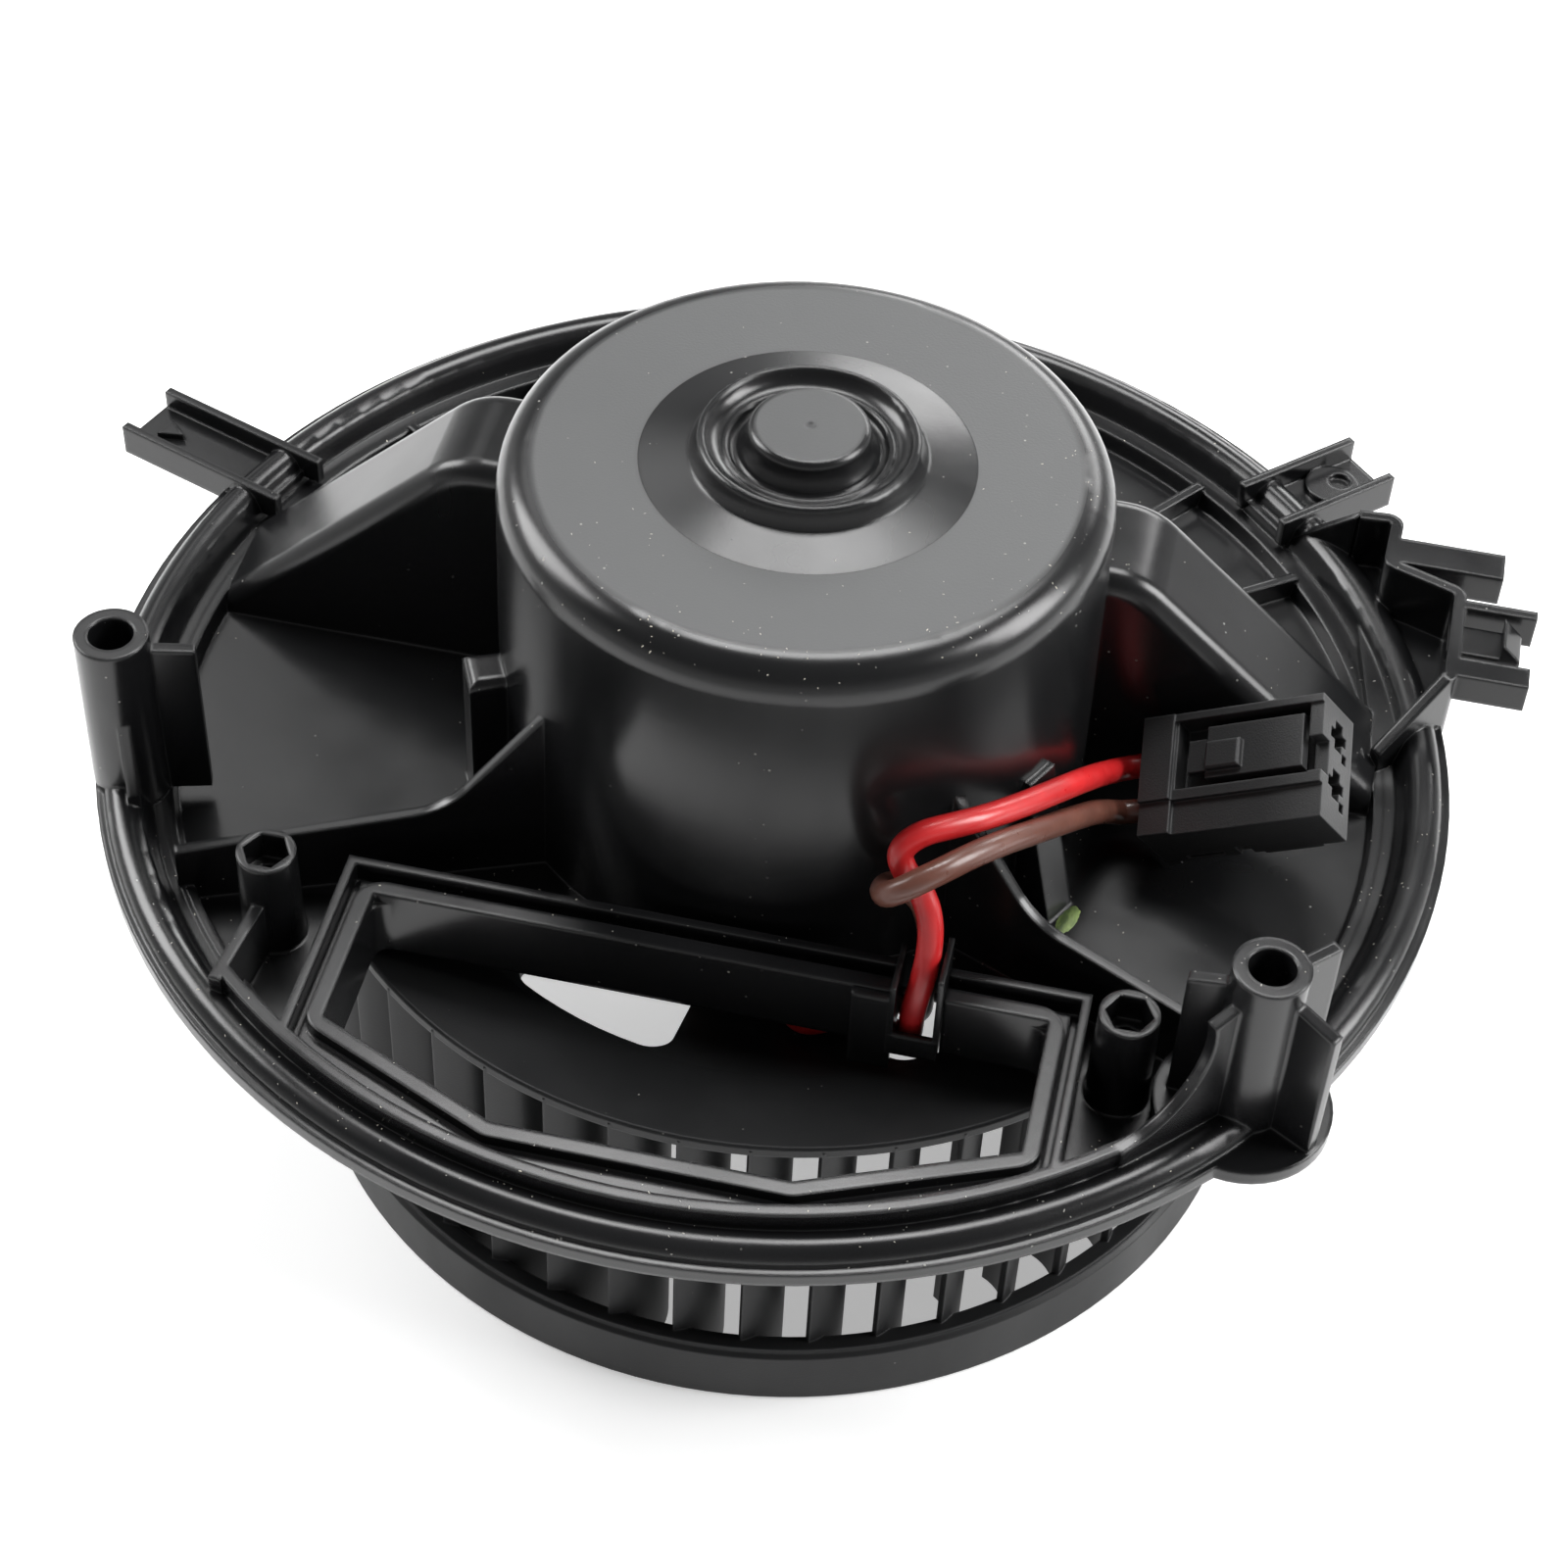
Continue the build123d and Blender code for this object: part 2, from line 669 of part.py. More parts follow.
with BuildPart() as chokes:
    for x in (-9.5, 9.5):
        choke_plane = Plane(origin=(motor_x + x, 22.5, can_bottom + 4.6), z_dir=(0, 1, 0))
        with BuildSketch(choke_plane):
            Circle(1.8)
        extrude(amount=9.0)
        for turn in range(6):
            with BuildSketch(choke_plane.offset(1.0 + turn * 1.35)):
                Circle(3.0)
                Circle(1.7, mode=Mode.SUBTRACT)
            extrude(amount=1.0)
save(chokes.part, "chokes")

with BuildPart() as isolator_upper:
    with BuildSketch(motor_plane(can_top + 0.05)):
        Circle(30.0)
        Circle(19.5, mode=Mode.SUBTRACT)
    extrude(amount=dome_top - wall - can_top - 0.1)
save(isolator_upper.part, "isolator_upper")

with BuildPart() as isolator_lower:
    with BuildSketch(motor_plane(0.5)):
        Circle(dome_bore - 0.05)
        Circle(can_radius + 0.05, mode=Mode.SUBTRACT)
        with PolarLocations(dome_bore - 2.0, 12):
            Rectangle(2.0, 5.0, mode=Mode.SUBTRACT)
    extrude(amount=7.5)
save(isolator_lower.part, "isolator_lower")

with BuildPart() as retainer_ring:
    with BuildSketch(motor_plane(ring_bottom)):
        Circle(dome_radius + 6.0)
        Circle(can_radius + 0.2, mode=Mode.SUBTRACT)
        # gap in front for the leads
        with Locations((10.0, -42.0)):
            Rectangle(36.0, 20.0, mode=Mode.SUBTRACT)
        with Locations(screw_spots):
            Circle(screw_hole, mode=Mode.SUBTRACT)
    extrude(amount=ring_thick)
save(retainer_ring.part, "retainer_ring")

with BuildPart() as retainer_screws:
    with BuildSketch(motor_plane(ring_bottom)):
        with Locations(screw_spots):
            Circle(screw_hole - 0.05)
    extrude(amount=ring_thick + pilot_depth - 0.3)
    with BuildSketch(motor_plane(ring_bottom)):
        with Locations(screw_spots):
            Circle(2.6)
    extrude(amount=-1.2)
    chamfer(retainer_screws.faces().sort_by(Axis.Z)[:3].edges(), 0.5)
    for x, y in screw_spots:
        with Locations((motor_x + x, y, ring_bottom - 1.0)):
            Box(3.0, 0.6, 0.9, mode=Mode.SUBTRACT)
            Box(0.6, 3.0, 0.9, mode=Mode.SUBTRACT)
save(retainer_screws.part, "retainer_screws")


# ---------------------------------------------------------------- rotor
shaft_bottom = -47.0
shaft_top = can_top + 2.6
hub_flat = 0.9             # depth of the flat on the shaft's lower end
with BuildPart() as shaft:
    with BuildSketch(motor_plane(shaft_bottom)):
        Circle(shaft_radius)
    extrude(amount=shaft_top - shaft_bottom)
    chamfer(shaft.edges().filter_by(GeomType.CIRCLE), 0.5)
    with Locations((motor_x + shaft_radius, 0, shaft_bottom + 9.0)):
        Box(2 * hub_flat, 10, 18.1, mode=Mode.SUBTRACT)
save(shaft.part, "shaft")

stack_bottom = 8.0
stack_height = 26.0
slot_count = 12
with BuildPart() as armature_stack:
    with BuildSketch(motor_plane(stack_bottom)):
        Circle(26.6)
        Circle(shaft_radius, mode=Mode.SUBTRACT)
        with PolarLocations(19.0, slot_count):
            SlotCenterToCenter(8.0, 4.6, mode=Mode.SUBTRACT)
        with PolarLocations(25.5, slot_count):
            Rectangle(4.0, 1.4, mode=Mode.SUBTRACT)
    extrude(amount=stack_height)
save(armature_stack.part, "armature_stack")

with BuildPart() as armature_winding:
    for bottom, height in ((stack_bottom - 5.0, 4.95), (stack_bottom + stack_height + 0.05, 5.0)):
        with BuildSketch(motor_plane(bottom)):
            Circle(23.0)
            Circle(11.6, mode=Mode.SUBTRACT)
        extrude(amount=height)
    fillet(armature_winding.edges().filter_by(GeomType.CIRCLE).group_by(SortBy.RADIUS)[-1], 1.6)
    with BuildSketch(motor_plane(stack_bottom - 2.0)):
        with PolarLocations(19.0, slot_count):
            SlotCenterToCenter(7.4, 4.0)
    extrude(amount=stack_height + 4.0)
save(armature_winding.part, "armature_winding")

with BuildPart() as commutator:
    with BuildSketch(motor_plane(can_bottom + 1.1)):
        Circle(commutator_radius)
        Circle(shaft_radius, mode=Mode.SUBTRACT)
        with PolarLocations(commutator_radius, slot_count):
            Rectangle(1.6, 0.5, mode=Mode.SUBTRACT)
    extrude(amount=stack_bottom - 5.6 - can_bottom)
save(commutator.part, "commutator")

with BuildPart() as thrust_washers:
    for height in (lower_bearing_bottom + bearing_height + 0.05, upper_bearing_bottom - 1.4):
        with BuildSketch(motor_plane(height)):
            Circle(6.2)
            Circle(shaft_radius + 0.02, mode=Mode.SUBTRACT)
        extrude(amount=0.6)
save(thrust_washers.part, "thrust_washers")


# ---------------------------------------------------------------- wheel
plate_inner = 57.5
plate_dip = -9.8           # height of the plate's upper face at its inner edge
bowl_inner = 37.0
bowl_floor = -17.4
disc_top = -20.4
shell = 1.8                # thickness of plate, bowl and disc
hub_radius = 8.0
hub_bottom = -45.0


def blade_point(radius, turn):
    """Plan point at a radius and an azimuth from the motor axis."""
    return Vector(radius, 0).rotate(Axis.Z, turn)


with BuildSketch() as blade_outline:
    with BuildLine():
        ThreePointArc(
            blade_point(blade_inner, 0.0),
            blade_point(67.0, 0.2),
            blade_point(wheel_radius - 0.4, -4.2),
        )
    trace(line_width=1.2)

with BuildPart() as fan_wheel:
    # blades, trimmed to the dished plate above them
    with BuildSketch(motor_plane(wheel_bottom + 1.0)):
        with PolarLocations(0, blade_count):
            add(blade_outline.sketch)
    extrude(amount=wheel_top - 0.4 - wheel_bottom - 1.0)
    with BuildSketch(axial_plane()):
        with BuildLine():
            Polyline(
                (plate_inner, plate_dip - 0.9),
                (wheel_radius, wheel_top - 0.9),
                (wheel_radius + 5, wheel_top - 0.9),
                (wheel_radius + 5, 0),
                (plate_inner, 0),
                close=True,
            )
        make_face()
    revolve(axis=motor_axis, mode=Mode.SUBTRACT)
    # dished plate, bowl, disc and hub
    with BuildSketch(axial_plane()):
        with BuildLine():
            Polyline(
                (wheel_radius, wheel_top - shell),
                (wheel_radius, wheel_top - 0.4),
                (wheel_radius - 0.4, wheel_top),
                (plate_inner, plate_dip),
                (bowl_inner, bowl_floor),
                (bowl_inner - 2.4, disc_top),
                (hub_radius + 2.0, disc_top - 0.6),
                (hub_radius, disc_top + 1.6),
                (hub_radius - 1.2, disc_top + 2.6),
                (shaft_radius, disc_top + 2.6),
                (shaft_radius, hub_bottom),
                (hub_radius - 0.6, hub_bottom),
                (hub_radius, hub_bottom + 1.0),
                (hub_radius, disc_top - 5.0),
                (hub_radius + 2.5, disc_top - 0.6 - shell),
                (bowl_inner - 3.4, disc_top - shell),
                (bowl_inner - 0.6, bowl_floor - shell),
                (plate_inner, plate_dip - shell),
                close=True,
            )
        make_face()
    revolve(axis=motor_axis)
    # stiffening ribs between the hub and the disc
    for spoke in range(window_count):
        with BuildSketch(axial_plane(-80.0 + spoke * 360 / window_count)):
            with BuildLine():
                Polyline(
                    (hub_radius - 0.5, disc_top - 1.0),
                    (bowl_inner - 4, disc_top - 1.0),
                    (bowl_inner - 8, disc_top - 4.5),
                    (hub_radius - 0.5, hub_bottom + 8.0),
                    close=True,
                )
            make_face()
        extrude(amount=0.8, both=True)
    # inlet ring with a small ledge
    with BuildSketch(axial_plane()):
        with BuildLine():
            Polyline(
                (72.0, wheel_bottom + 0.4),
                (72.4, wheel_bottom),
                (ring_radius - 0.5, wheel_bottom),
                (ring_radius, wheel_bottom + 0.5),
                (ring_radius, wheel_bottom + ring_height - 1.4),
                (ring_radius - 0.8, wheel_bottom + ring_height - 0.8),
                (ring_radius - 0.8, wheel_bottom + ring_height),
                (72.0, wheel_bottom + ring_height),
                close=True,
            )
        make_face()
    revolve(axis=motor_axis)
    # windows in the bowl
    with BuildSketch(motor_plane(disc_top - 6)):
        for window in range(window_count):
            middle = -50.0 + window * 360 / window_count
            with BuildLine():
                near = [blade_point(39.6, middle + turn) for turn in (-12.5, 0, 12.5)]
                far = [blade_point(56.2, middle + turn) for turn in (14.0, 0, -14.0)]
                ThreePointArc(*near)
                Line(near[2], far[0])
                ThreePointArc(*far)
                Line(far[2], near[0])
            make_face()
        fillet(vertices(), 3.6)
    extrude(amount=20, mode=Mode.SUBTRACT)
save(fan_wheel.part, "fan_wheel")

with BuildPart() as hub_clip:
    with BuildSketch(motor_plane(hub_bottom + 2.0)):
        Circle(hub_radius + 0.9)
        Circle(hub_radius + 0.02, mode=Mode.SUBTRACT)
        with Locations((0, hub_radius + 0.5)):
            Rectangle(1.6, 3.0, mode=Mode.SUBTRACT)
        with Locations((1.3, hub_radius + 1.9), (-1.3, hub_radius + 1.9)):
            Rectangle(0.9, 3.0)
    extrude(amount=4.0)
save(hub_clip.part, "hub_clip")

with BuildPart() as balance_clips:
    for blade, height in ((5, -34.0), (6, -34.0), (29, -28.0)):
        turn = blade * 360 / blade_count
        with BuildSketch(motor_plane(height).rotated((0, 0, turn))):
            with Locations((blade_inner + 0.2, 0)):
                Rectangle(3.4, 3.4)
            with Locations((blade_inner + 1.2, 0)):
                Rectangle(4.0, 2.5, mode=Mode.SUBTRACT)
        extrude(amount=6.0)
save(balance_clips.part, "balance_clips")


# ---------------------------------------------------------------- connector
# local x runs along the plug away from its leads, local z is up through its latch side
plug_plane = Plane(
    origin=(57.23, -4.12, 5.79), x_dir=(0.862, -0.095, 0.499), z_dir=(-0.500, -0.328, 0.801)
)
half_width = plug_width / 2
half_height = plug_height / 2
collar = 4.9
body_top = half_height - 0.7     # top of the plug behind its collar
ridge = -4.2                     # near edge of the latch side, where the shoulder begins
entry_red = 4.8                  # the leads enter this far off the plug's middle
entry_brown = -2.7
entry_height = -0.6
entry_depth = 4.4
cavity_height = 2.5
latch_left = 10.0
latch_right = 24.9
latch_far = 6.8
latch_near = -1.3
latch_top = body_top - 0.2
latch_thick = 1.9


def plug_box(x, y, z, length, width, height, mode=Mode.ADD):
    """Box from x to x + length, centred on y, from z up, in the plug's own axes."""
    with Locations(plug_plane * Location((x + length / 2, y, z + height / 2))):
        Box(length, width, height, mode=mode)


with BuildPart() as connector_housing:
    # collar, body with its shoulder on the near side, and the rail along the far side
    plug_box(0, 0, -half_height, collar, plug_width, plug_height - 0.7)
    plug_box(0, (half_width + ridge) / 2, 0, collar, half_width - ridge, half_height)
    plug_box(collar, 0, -half_height, plug_length - collar, plug_width, plug_height - 1.5)
    plug_box(
        collar, (half_width + ridge) / 2, 0, plug_length - collar, half_width - ridge, body_top
    )
    plug_box(collar, half_width - 0.6, 0, plug_length - collar, 1.2, half_height - 0.2)
    # foot and step along the near lower edge
    plug_box(0.2, -half_width + 1.6, -half_height - 0.7, 2.0, 3.2, 0.8)
    plug_box(15.5, -half_width + 1.3, -half_height - 0.6, 9.0, 2.6, 0.7)
    # lead holes, contact cavities and the slots of the mating face
    for y in (entry_red, entry_brown):
        with Locations(plug_plane * Location((0, y, entry_height), (0, 90, 0))):
            Cylinder(2.05, 2 * entry_depth + 1.2, mode=Mode.SUBTRACT)
        plug_box(
            entry_depth, y, entry_height - cavity_height / 2, 30, 4.4, cavity_height, Mode.SUBTRACT
        )
        plug_box(plug_length - 3, y, entry_height - 2.6, 6, 1.6, 5.2, Mode.SUBTRACT)
        plug_box(plug_length - 3, y - 2.6, entry_height - 2.9, 6, 1.5, 1.5, Mode.SUBTRACT)
    # well of the latch, its slot into the mating face, and the lever's hinge seat
    plug_box(
        collar + 0.5, (latch_far + latch_near) / 2, 1.2,
        plug_length - collar - 2.6, latch_far - latch_near + 2.6, 10, Mode.SUBTRACT,
    )
    plug_box(plug_length - 3, 0.3, body_top - 2.4, 6, 5.4, 5, Mode.SUBTRACT)
    # notch and hook slot in the near side
    plug_box(4.0, -half_width, -half_height + 0.6, 5.7, 1.2, 1.0, Mode.SUBTRACT)
    plug_box(12.0, -half_width, -half_height - 1, 2.0, 1.4, 3.4, Mode.SUBTRACT)
    # socket for the contact lock on the underside
    plug_box(9.0, 1.0, -half_height - 1, 6.6, 13.0, 2.2, Mode.SUBTRACT)
save(connector_housing.part, "connector_housing")

with BuildPart() as connector_latch:
    plug_box(
        latch_left, (latch_far + latch_near) / 2, latch_top - latch_thick,
        latch_right - latch_left, latch_far - latch_near, latch_thick,
    )
    # stepped lug at the free end and the square thumb pad
    plug_box(latch_left - 3.2, (latch_far + latch_near) / 2, latch_top - latch_thick, 3.4, 5.0, 1.2)
    plug_box(latch_left + 0.3, 1.8, latch_top - 0.2, 5.3, 4.3, 1.5)
    chamfer(connector_latch.faces().sort_by(Axis(plug_plane.origin, plug_plane.z_dir))[-1].edges(), 0.3)
save(connector_latch.part, "connector_latch")

with BuildPart() as connector_lock:
    plug_box(9.2, 1.0, -half_height + 0.05, 6.2, 12.6, 1.0)
    plug_box(10.4, 1.0, -half_height - 0.4, 1.2, 9.0, 0.5)
save(connector_lock.part, "connector_lock")


def terminal(y):
    """Stamped contact: box with a lance, and the crimp barrel that takes the lead."""
    with BuildPart() as contact:
        with Locations(plug_plane * Location((entry_depth + 2.2, y, entry_height), (0, 90, 0))):
            Cylinder(1.15, 4.0)
        plug_box(entry_depth + 4.0, y, entry_height - 1.1, 14.5, 3.8, 2.2)
        plug_box(entry_depth + 8.0, y, entry_height - 0.6, 12.0, 2.6, 1.2, Mode.SUBTRACT)
        with Locations(plug_plane * Location((entry_depth + 0.1, y, entry_height), (0, 90, 0))):
            Cylinder(1.15, 0.2)
    return contact.part


save(terminal(entry_red), "terminal_red")
save(terminal(entry_brown), "terminal_brown")


# ---------------------------------------------------------------- leads
def plug_point(x, y):
    """Point in the plane of the lead holes, in the flange's frame."""
    return tuple(plug_plane.from_local_coords((x, y, entry_height)))


red_route = [
    (11.0, -36.2, -12.0), (11.0, -41.4, -12.0), (14.0, -45.6, -11.4), (19.6, -45.4, -7.9),
    (25.2, -45.4, -7.4), (29.9, -49.0, -6.6), (30.1, -50.0, 2.2), (31.4, -48.6, 10.4),
    (31.0, -45.8, 16.4), (28.6, -43.6, 20.2), (26.6, -44.2, 22.8), (25.2, -43.6, 26.2),
    (27.6, -41.6, 28.2), (31.8, -38.8, 28.0), (35.6, -35.4, 27.0), (40.4, -28.4, 23.8),
    (46.9, -17.0, 18.6), (49.8, -7.6, 10.2),
    (50.4, -1.6, 4.8), plug_point(-4.4, entry_red), plug_point(entry_depth, entry_red),
]
brown_route = [
    (-2.0, -36.2, -11.8), (-2.0, -41.4, -11.8), (3.6, -44.6, -11.4), (10.4, -41.6, -7.7),
    (19.0, -40.2, -7.4), (26.4, -39.8, -7.4), (30.6, -44.2, -6.4), (30.6, -45.7, 2.8),
    (31.2, -43.8, 10.6), (28.8, -40.8, 15.2), (24.4, -41.0, 17.0), (23.7, -45.4, 20.0),
    (25.2, -49.9, 24.0), (30.6, -47.6, 27.2), (36.6, -40.0, 26.0), (42.8, -29.8, 20.6),
    (48.6, -15.6, 11.2), (50.8, -8.0, 4.6), plug_point(-4.4, entry_brown),
    plug_point(entry_depth, entry_brown),
]


def lead(route, name):
    """Insulated lead: straight runs joined by tangent arcs, swept with its round section."""
    points = [Vector(*point) for point in route]
    radii = []
    for before, here, after in zip(points, points[1:], points[2:]):
        turn = radians((here - before).get_angle(after - here))
        shorter = min((here - before).length, (after - here).length)
        radii.append(0.45 * shorter / tan(turn / 2))
    print(name, "bend radii:", [round(radius, 1) for radius in radii])
    with BuildPart() as wire:
        with BuildLine() as path:
            FilletPolyline(*points, radius=radii)
        with BuildSketch(Plane(origin=points[0], z_dir=points[1] - points[0])):
            Circle(lead_diameter / 2)
        sweep(path=path.line)
    length = path.wires()[0].length
    section = radians(180) * lead_diameter ** 2 / 4
    ratio = wire.part.volume / section / length
    print(name, "length", round(length, 1), "volume ratio", round(ratio, 4))
    save(wire.part, name)


lead(red_route, "lead_red")
lead(brown_route, "lead_brown")
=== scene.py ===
"""Looks of the car heater blower: satin black mouldings, zinc and copper motor, PVC leads."""
import json
import math
import random

import bpy
import bmesh
from mathutils import Matrix, Vector


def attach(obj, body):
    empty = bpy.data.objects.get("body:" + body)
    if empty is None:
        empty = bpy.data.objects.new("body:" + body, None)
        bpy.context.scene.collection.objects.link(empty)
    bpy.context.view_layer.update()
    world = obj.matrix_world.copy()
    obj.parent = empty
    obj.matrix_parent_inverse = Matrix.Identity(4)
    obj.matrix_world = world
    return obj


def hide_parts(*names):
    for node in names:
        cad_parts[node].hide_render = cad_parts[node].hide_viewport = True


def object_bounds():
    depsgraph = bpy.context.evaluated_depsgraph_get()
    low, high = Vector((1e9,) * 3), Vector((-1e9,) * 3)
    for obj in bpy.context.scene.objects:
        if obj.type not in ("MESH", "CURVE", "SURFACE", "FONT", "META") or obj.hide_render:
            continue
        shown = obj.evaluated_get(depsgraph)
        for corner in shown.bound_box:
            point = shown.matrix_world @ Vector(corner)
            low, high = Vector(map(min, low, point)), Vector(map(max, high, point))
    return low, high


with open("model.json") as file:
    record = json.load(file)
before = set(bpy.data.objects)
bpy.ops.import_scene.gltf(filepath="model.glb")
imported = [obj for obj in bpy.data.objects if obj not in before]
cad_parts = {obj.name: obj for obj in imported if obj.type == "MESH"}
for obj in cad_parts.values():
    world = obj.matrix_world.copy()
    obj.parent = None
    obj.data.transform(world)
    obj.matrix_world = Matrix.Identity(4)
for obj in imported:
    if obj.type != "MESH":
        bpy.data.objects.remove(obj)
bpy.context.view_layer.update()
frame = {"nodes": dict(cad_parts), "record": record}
nodes = frame["nodes"]
scene = bpy.context.scene

MM = 0.001

# the motor's axis and the dome's top, in millimetres
motor_x = 2.6
button_radius = 7.5
crest_radius = 16.9
cone_foot = 23.4
grain_radius = 38.0
grain_height = 53.1


# ---------------------------------------------------------------- camera
def add_camera():
    """Camera above the regulator window, looking down at the dome."""
    forward = Vector((-0.1197, 0.6788, -0.7245)).normalized()
    right = Vector((0.9848, 0.1736, 0.0)).normalized()
    up = right.cross(forward).normalized()
    roll = math.radians(3.06)
    side = right * math.cos(roll) + up * math.sin(roll)
    top = up * math.cos(roll) - right * math.sin(roll)
    data = bpy.data.cameras.new("camera")
    data.lens = 73.77
    data.sensor_width = 36.0
    data.clip_start = 0.01
    data.clip_end = 20.0
    camera = bpy.data.objects.new("camera", data)
    scene.collection.objects.link(camera)
    basis = Matrix((side, top, -forward)).transposed()
    camera.matrix_world = Matrix.Translation(Vector((60.16, -331.85, 342.83)) * MM) @ basis.to_4x4()
    scene.camera = camera


add_camera()


# ---------------------------------------------------------------- node helpers
class Shader:
    """A material's node tree with short calls for the nodes used here."""

    def __init__(self, name, color, roughness, metallic=0.0):
        self.material = bpy.data.materials.new(name)
        self.material.use_nodes = True
        self.tree = self.material.node_tree
        self.tree.nodes.clear()
        output = self.tree.nodes.new("ShaderNodeOutputMaterial")
        self.bsdf = self.tree.nodes.new("ShaderNodeBsdfPrincipled")
        self.tree.links.new(self.bsdf.outputs["BSDF"], output.inputs["Surface"])
        self.bsdf.inputs["Base Color"].default_value = (*color, 1.0)
        self.bsdf.inputs["Roughness"].default_value = roughness
        self.bsdf.inputs["Metallic"].default_value = metallic
        self.place = self.tree.nodes.new("ShaderNodeTexCoord")
        self.normal = None

    def link(self, start, end):
        """Join an output to an input."""
        self.tree.links.new(start, end)

    def stretched(self, scale):
        """Object coordinates scaled along the three axes."""
        mapping = self.tree.nodes.new("ShaderNodeMapping")
        mapping.inputs["Scale"].default_value = scale
        self.link(self.place.outputs["Object"], mapping.inputs["Vector"])
        return mapping.outputs["Vector"]

    def noise(self, scale, detail=3.0, stretch=(1, 1, 1)):
        """Value noise of a scale in lumps per metre."""
        texture = self.tree.nodes.new("ShaderNodeTexNoise")
        texture.inputs["Scale"].default_value = scale
        texture.inputs["Detail"].default_value = detail
        self.link(self.stretched(stretch), texture.inputs["Vector"])
        return texture.outputs["Fac"]

    def cells(self, scale):
        """Distance to the nearest of many scattered points."""
        texture = self.tree.nodes.new("ShaderNodeTexVoronoi")
        texture.inputs["Scale"].default_value = scale
        self.link(self.place.outputs["Object"], texture.inputs["Vector"])
        return texture.outputs["Distance"]

    def ramp(self, value, low, high, start, end):
        """A value taken from one range to another, held at both ends."""
        node = self.tree.nodes.new("ShaderNodeMapRange")
        node.inputs["From Min"].default_value = low
        node.inputs["From Max"].default_value = high
        node.inputs["To Min"].default_value = start
        node.inputs["To Max"].default_value = end
        self.link(value, node.inputs["Value"])
        return node.outputs["Result"]

    def step(self, value, middle, fade, start=0.0, end=1.0):
        """A soft step in a length, with its middle and its half-width in millimetres."""
        return self.ramp(value, (middle - fade) * MM, (middle + fade) * MM, start, end)

    def specks(self, density, reach, patch_density, patch_start, amount):
        """Lint in patches. Densities are per metre, and reach is where a speck starts and is full."""
        lint = self.ramp(self.cells(density), *reach, 0.0, 1.0)
        patches = self.ramp(self.noise(patch_density, 2.0), patch_start, patch_start + 0.10, 0.0, 1.0)
        return self.math("MULTIPLY", self.math("MULTIPLY", lint, patches), amount)

    def math(self, operation, first, second):
        """First and second joined by an operation. Second may be a number."""
        node = self.tree.nodes.new("ShaderNodeMath")
        node.operation = operation
        self.link(first, node.inputs[0])
        if isinstance(second, (int, float)):
            node.inputs[1].default_value = second
        else:
            self.link(second, node.inputs[1])
        return node.outputs[0]

    def mix(self, factor, first, second):
        """Colour between two colours, each a tuple or an output."""
        node = self.tree.nodes.new("ShaderNodeMix")
        node.data_type = "RGBA"
        self.link(factor, node.inputs["Factor"])
        for socket, value in ((node.inputs[6], first), (node.inputs[7], second)):
            if isinstance(value, tuple):
                socket.default_value = (*value, 1.0)
            else:
                self.link(value, socket)
        return node.outputs[2]

    def bump(self, height, distance, strength):
        """Add relief, in metres, on top of what is there."""
        node = self.tree.nodes.new("ShaderNodeBump")
        node.inputs["Distance"].default_value = distance
        node.inputs["Strength"].default_value = strength
        self.link(height, node.inputs["Height"])
        if self.normal is not None:
            self.link(self.normal, node.inputs["Normal"])
        self.normal = node.outputs["Normal"]
        self.link(self.normal, self.bsdf.inputs["Normal"])

    def color(self, output):
        """Drive the base colour."""
        self.link(output, self.bsdf.inputs["Base Color"])

    def roughness(self, output):
        """Drive the roughness."""
        self.link(output, self.bsdf.inputs["Roughness"])

    def position(self):
        """The object's x, y and z as three outputs."""
        node = self.tree.nodes.new("ShaderNodeSeparateXYZ")
        self.link(self.place.outputs["Object"], node.inputs["Vector"])
        return node.outputs

    def edges(self, radius):
        """One on sharp edges and nought on open faces."""
        bevel = self.tree.nodes.new("ShaderNodeBevel")
        bevel.samples = 4
        bevel.inputs["Radius"].default_value = radius
        geometry = self.tree.nodes.new("ShaderNodeNewGeometry")
        dot = self.tree.nodes.new("ShaderNodeVectorMath")
        dot.operation = "DOT_PRODUCT"
        self.link(bevel.outputs["Normal"], dot.inputs[0])
        self.link(geometry.outputs["Normal"], dot.inputs[1])
        return self.ramp(dot.outputs["Value"], 0.99, 0.86, 0.0, 1.0)

    def soften(self, radius):
        """Round the shading of sharp edges by a radius in metres."""
        bevel = self.tree.nodes.new("ShaderNodeBevel")
        bevel.samples = 6
        bevel.inputs["Radius"].default_value = radius
        self.normal = bevel.outputs["Normal"]
        self.link(self.normal, self.bsdf.inputs["Normal"])


def moulding(name, dark, light, smooth, rough, grain, dust=0.0, edge=0.18, shine=0.5):
    """Black moulded plastic: flow marks, fine grain, pale edges that are part wear and part painted
    highlight, and lint.
    """
    s = Shader(name, dark, smooth)
    s.bsdf.inputs["Specular IOR Level"].default_value = shine
    s.soften(0.0004)
    cloud = s.noise(22.0, 4.0)
    tone = s.ramp(cloud, 0.35, 0.68, 0.0, 1.0)
    base = s.mix(tone, dark, light)
    # Painted highlight with some wear: sharp edges are mixed towards pale grey, like light caught on
    # rounded edges.
    edge_wear_and_highlight = s.math("MULTIPLY", s.edges(0.0005), edge)
    base = s.mix(edge_wear_and_highlight, base, (0.16, 0.16, 0.165))
    fine = s.noise(3800.0, 2.0)
    flow = s.noise(60.0, 3.0, (1.0, 1.0, 0.25))
    level = s.ramp(flow, 0.3, 0.7, smooth, rough)
    if dust:
        specks = s.specks(430.0, (0.075, 0.05), 75.0, 0.56, dust)
        base = s.mix(specks, base, (0.42, 0.41, 0.38))
        level = s.math("ADD", level, s.math("MULTIPLY", specks, 0.4))
    s.color(base)
    s.roughness(level)
    s.bump(s.noise(240.0, 2.0), 0.0004, 0.06)
    s.bump(fine, 0.00006, grain)
    return s


